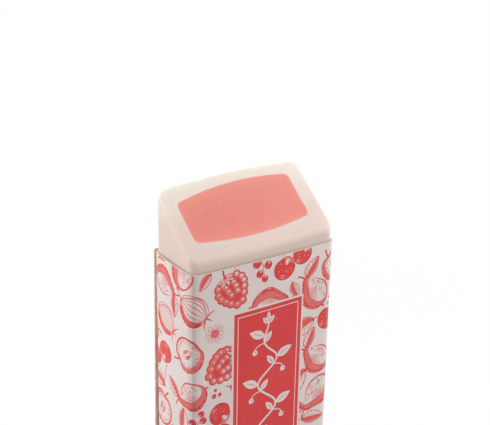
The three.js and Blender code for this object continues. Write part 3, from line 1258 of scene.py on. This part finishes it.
def vinyl(name, colours, ends, across, specks):
    """Soft matte vinyl, with painted shade low down and painted light at the tip; near the line between the
    two colours each one takes a little of the other.
    """
    made = Finish(name)
    colour, shade = colours
    # The second pair of colours: the painted-shade tone low down and the painted-light tone at the tip
    painted_shade, painted_light = ends
    height = made.node("ShaderNodeSeparateXYZ", {0: made.place})["Z"]
    middle = mix(PAINTED_SHADE_BELOW, PAINTED_LIGHT_ABOVE, 0.5)
    # Painted shade and painted light: darker up to the mouth's height, lighter from the middle up to the tip
    low = made.ramp(height, PAINTED_SHADE_BELOW * MM, middle * MM, 1.0, 0.0)
    high = made.ramp(height, middle * MM, PAINTED_LIGHT_ABOVE * MM)
    tone = made.mottle(colour, shade, made.noise(5.0), 0.35, 0.7)
    tone = made.blend(high, made.blend(low, tone, painted_shade), painted_light)
    tone = made.mottle(tone, shade, made.noise(0.35, 3.0), 0.35, 0.75, 0.3)
    # Painted shade in the gap at the mouth, partly grime: a faint brown band that peaks at the mouth's height
    rise = made.ramp(height, *(z * MM for z in MOUTH_GRIME_AND_SHADE_RISE))
    fall = made.ramp(height, *(z * MM for z in MOUTH_GRIME_AND_SHADE_FALL), MOUTH_GRIME_AND_SHADE_TONE, 0.0)
    tone = made.blend(made.math("MULTIPLY", rise, fall), tone, MOUTH_GRIME_AND_SHADE)
    wander = made.math("MULTIPLY", made.math("SUBTRACT", made.noise(0.5), 0.5), BORDER_WANDER)
    distance = made.math("ADD", made.attribute("border"), wander)
    tone = made.blend(made.ramp(distance, *BLEED_FADE, BLEED_TONE, 0.0), tone, across)
    for x, y, radius in specks:
        tone = made.spot(tone, to_frame(x, y, top_cut(x, y)), radius, SPECK, SPECK_TONE)
    grain = made.math("ADD", made.noise(0.3, 3.0), made.math("MULTIPLY", made.noise(1.8), 2.5))
    made.bump(grain, VINYL_RELIEF)
    passing = made.ramp(made.attribute("border"), *BORDER_BAND)
    return made.finish(
        tone, 0.5, Specular_IOR_Level=0.4, Subsurface_Weight=passing,
        Subsurface_Radius=(1.0, 0.9, 0.85), Subsurface_Scale=VINYL_DEPTH * MM,
    )


def glue_film():
    made = Finish("dried_glue")
    tone = made.blend(made.noise(1.2), srgb(228, 216, 190), srgb(205, 190, 160))
    made.bump(made.noise(0.6, 3.0), GLUE_RELIEF)
    return made.finish(tone, 0.35, Specular_IOR_Level=0.5)


# Camera, light and floor

# How far out the floor turns to pure white, in metres, and the share of its own glow at either end
SHADOW_REACH = (0.02, 0.14)
FLOOR_GLOW = (0.78, 0.99)

# The floor's colours: as it throws light back, and as the camera sees it
FLOOR_GREYS = ((0.47, 0.47, 0.47, 1), (0.44, 0.44, 0.44, 1))
FLOOR_SEEN = (0.9, 0.9, 0.9, 1)

WORLD_LEVEL = 0.5
LAMPS_AIM = Vector((0, 0, 0.04))

# Each lamp's azimuth and elevation in degrees, distance and size in metres, and level
SOFTBOXES = {
    "key": (-148, 30, 0.18, 0.11, 0.42),
    "left": (-115, 20, 0.22, 0.15, 0.2),
    "rear": (180, 70, 0.22, 0.17, 0.12),
    "right": (64, 30, 0.14, 0.1, 0.49),
    "fill": (-40, 12, 0.3, 0.1, 0.08),
    "back": (155, 22, 0.25, 0.18, 0.06),
}


def floor_white():
    """A white floor: it keeps the object's shadow near by, and glows pure white farther off."""
    made = Finish("studio_floor")
    camera = made.node("ShaderNodeLightPath")["Is Camera Ray"]
    lighting = made.blend(made.noise(400.0), *FLOOR_GREYS)
    made.finish(made.blend(camera, lighting, FLOOR_SEEN), 0.9)
    glow = made.node("ShaderNodeEmission", {"Strength": 1.0})[0]
    distance = made.node("ShaderNodeVectorMath", {0: made.place}, operation="LENGTH")["Value"]
    share = made.math("MULTIPLY", made.seen_directly(), made.ramp(distance, *SHADOW_REACH, *FLOOR_GLOW))
    both = made.blend_shaders(share, made.shader.outputs[0], glow)
    made.put(made.nodes["Material Output"].inputs["Surface"], both)
    return made.material


def direction(azimuth, elevation):
    """Towards the viewer at an azimuth from the front panel and an elevation, both in degrees."""
    a, e = radians(azimuth), radians(elevation)
    return Vector((sin(a) * cos(e), -cos(a) * cos(e), sin(e)))


def make_camera():
    back = direction(CAMERA_AZIMUTH, CAMERA_ELEVATION)
    a, roll = radians(CAMERA_AZIMUTH), radians(CAMERA_ROLL)
    level = Vector((cos(a), sin(a), 0))
    upward = back.cross(level)
    right = cos(roll) * level + sin(roll) * upward
    up = -sin(roll) * level + cos(roll) * upward
    place = CAMERA_ASIDE * level + CAMERA_UP * upward + CAMERA_DISTANCE * back
    data = bpy.data.cameras.new("photo_camera")
    data.sensor_width = 36.0
    data.lens = FOCAL_PX * data.sensor_width / IMAGE_WIDTH_PX
    data.clip_start = 0.01
    obj = new_object("photo_camera", data)
    obj.matrix_world = Matrix((
        (right.x, up.x, back.x, (place.x + SHIFT_X) * MM),
        (right.y, up.y, back.y, (place.y + SHIFT_Y) * MM),
        (right.z, up.z, back.z, (place.z + SLEEVE_LENGTH) * MM),
        (0, 0, 0, 1),
    ))
    bpy.context.scene.camera = obj


def make_softbox(name, azimuth, elevation, distance, size, level):
    """A square lamp that lights white to its level where it shines straight on."""
    data = bpy.data.lights.new("softbox_" + name, "AREA")
    data.shape = "SQUARE"
    data.size = size
    data.energy = level * (pi * distance) ** 2
    obj = new_object("softbox_" + name, data)
    back = direction(azimuth, elevation)
    obj.location = LAMPS_AIM + distance * back
    obj.rotation_mode = "QUATERNION"
    obj.rotation_quaternion = (-back).to_track_quat("-Z", "Y")


def make_world():
    """Even soft light, and pure white where it is seen."""
    world = bpy.data.worlds.new("studio")
    made = Shading(world)
    seen = made.nodes["Background"]
    seen.inputs["Color"].default_value = (1, 1, 1, 1)
    light = made.node("ShaderNodeBackground", {"Color": (1, 1, 1, 1), "Strength": WORLD_LEVEL})[0]
    both = made.blend_shaders(made.seen_directly(), light, seen.outputs[0])
    made.put(made.nodes["World Output"].inputs["Surface"], both)
    bpy.context.scene.world = world


def make_floor():
    """A round floor, fine enough for its shadow to lie smoothly."""
    radius, sides = 3.0, 96
    ring = [(*polar(i * tau / sides, radius), 0.0) for i in range(sides)]
    mesh = bpy.data.meshes.new("floor")
    mesh.from_pydata(ring, [], [tuple(range(sides))])
    mesh.materials.append(floor_white())
    obj = new_object("floor", mesh)


make_camera()
make_world()
for softbox, values in SOFTBOXES.items():
    make_softbox(softbox, *values)
make_floor()

# The vinyl's colours; the painted-shade tones darken the block low down and the painted-light tones lighten
# it at the tip
CREAM = srgb(242, 222, 212)
CREAM_SHADE = srgb(240, 217, 206)
CREAM_PAINTED_SHADE = srgb(236, 217, 208)
CREAM_PAINTED_LIGHT = srgb(253, 239, 228)
PINK = srgb(248, 150, 137)
PINK_SHADE = srgb(245, 143, 130)
PINK_PAINTED_SHADE = srgb(244, 147, 134)
PINK_PAINTED_LIGHT = srgb(252, 156, 142)

print_finishes = [
    coated("card_white", srgb(244, 231, 226), srgb(240, 226, 221), 0.42),
    coated("ink_red", srgb(237, 70, 70), srgb(230, 62, 64), 0.4, RUBS),
    coated("ink_rose", srgb(238, 126, 121), srgb(234, 117, 113), 0.4),
    raw_board("board_edge", srgb(240, 226, 210), srgb(224, 206, 188)),
    raw_board("board_inside", srgb(236, 210, 194), srgb(220, 192, 174)),
]

sleeve = make_sleeve(Section(), print_finishes)
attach(sleeve, "sleeve")
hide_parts("card_sleeve")

cream = vinyl("cream_vinyl", (CREAM, CREAM_SHADE), (CREAM_PAINTED_SHADE, CREAM_PAINTED_LIGHT), PINK, ())
body = make_body([cream])
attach(body, "block")
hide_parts("eraser_body")

pink = vinyl("pink_vinyl", (PINK, PINK_SHADE), (PINK_PAINTED_SHADE, PINK_PAINTED_LIGHT), CREAM, SPECKS)
core = make_core([pink])
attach(core, "block")
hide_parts("eraser_core")

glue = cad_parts["seam_glue"]
glue.data.materials.clear()
glue.data.materials.append(glue_film())

bpy.context.scene.view_settings.view_transform = "Standard"
